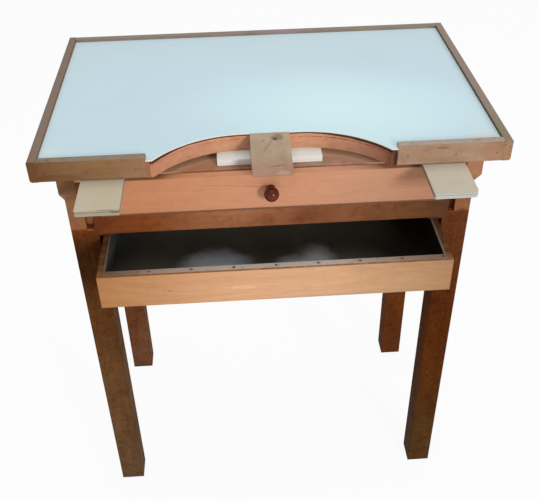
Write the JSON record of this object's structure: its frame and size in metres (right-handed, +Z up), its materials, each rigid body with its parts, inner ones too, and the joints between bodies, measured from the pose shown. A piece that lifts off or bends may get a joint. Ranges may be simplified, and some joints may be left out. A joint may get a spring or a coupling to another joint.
{
  "type": "jeweller's bench",
  "caption": "Square-legged wooden work bench with a rimmed laminate top cut away round a bench pin, over a knobbed drawer, sliding armrests and a metal-lined filings tray.",
  "frame": {"origin": "on the floor, under the middle of the whole bench as it stands, with its armrests and its tray drawn out", "axes": "+Z up, +X to the right of someone who sits at the bench, +Y to the back"},
  "size_m": [0.85, 0.643, 0.96],
  "materials": {
    "leg_wood": "dark brown stained, satin",
    "rim_wood": "grey-brown stained, satin",
    "case_wood": "red-brown stained, satin",
    "salmon_wood": "pale red-brown, satin",
    "tray_wood": "yellow-brown, satin",
    "plywood": "raw, matt",
    "laminate": "pale blue-white, satin",
    "sheet_metal": "dull, darkened sheet",
    "steel": "dull",
    "knob_wood": "dark red-brown, polished"
  },
  "bodies": {
    "bench_frame": {"front_left_leg": "leg_wood", "front_right_leg": "leg_wood", "back_left_leg": "leg_wood", "back_right_leg": "leg_wood", "left_side_board": "rim_wood", "right_side_board": "rim_wood", "back_board": "rim_wood", "case_top": "case_wood", "left_case_side": "case_wood", "right_case_side": "case_wood", "front_rail": "case_wood", "left_drawer_ledge": "case_wood", "right_drawer_ledge": "case_wood", "left_tray_kicker": "case_wood", "right_tray_kicker": "case_wood", "left_tray_runner": "case_wood", "right_tray_runner": "case_wood", "tray_stops": "case_wood", "left_outer_guide": "case_wood", "left_inner_guide": "case_wood", "right_inner_guide": "case_wood", "right_outer_guide": "case_wood", "top_panel": "plywood", "laminate": "laminate", "left_rim": "rim_wood", "right_rim": "rim_wood", "back_rim": "rim_wood", "left_lip": "rim_wood", "right_lip": "rim_wood", "cut_band": "salmon_wood", "rim_nails": "steel", "pin_cleat": "plywood", "bench_pin": "plywood", "pin_screw": "steel", "side_board_screws": "steel", "back_board_screws": "steel", "rail_dowels": "case_wood", "runner_screws": "steel"},
    "drawer": {"drawer_front": "salmon_wood", "left_drawer_side": "case_wood", "right_drawer_side": "case_wood", "drawer_back": "case_wood", "drawer_bottom": "plywood", "drawer_knob": "knob_wood", "knob_screw": "steel"},
    "tray": {"tray_front": "tray_wood", "left_tray_side": "case_wood", "right_tray_side": "case_wood", "tray_back": "case_wood", "tray_bottom": "plywood", "tray_liner": "sheet_metal", "tray_tacks": "steel"},
    "left_rest": {"left_armrest": "plywood"},
    "right_rest": {"right_armrest": "plywood"}
  },
  "joints": [
    {"name": "drawer_slide", "type": "slide", "parent": "bench_frame", "child": "drawer", "axis": [0, -1, 0], "range_m": [0, 0.33]},
    {"name": "tray_slide", "type": "slide", "parent": "bench_frame", "child": "tray", "axis": [0, -1, 0], "range_m": [-0.127, 0.173]},
    {"name": "left_armrest_slide", "type": "slide", "parent": "bench_frame", "child": "left_rest", "axis": [0, -1, 0], "range_m": [-0.095, 0.06]},
    {"name": "right_armrest_slide", "type": "slide", "parent": "bench_frame", "child": "right_rest", "axis": [0, -1, 0], "range_m": [-0.095, 0.06]}
  ]
}
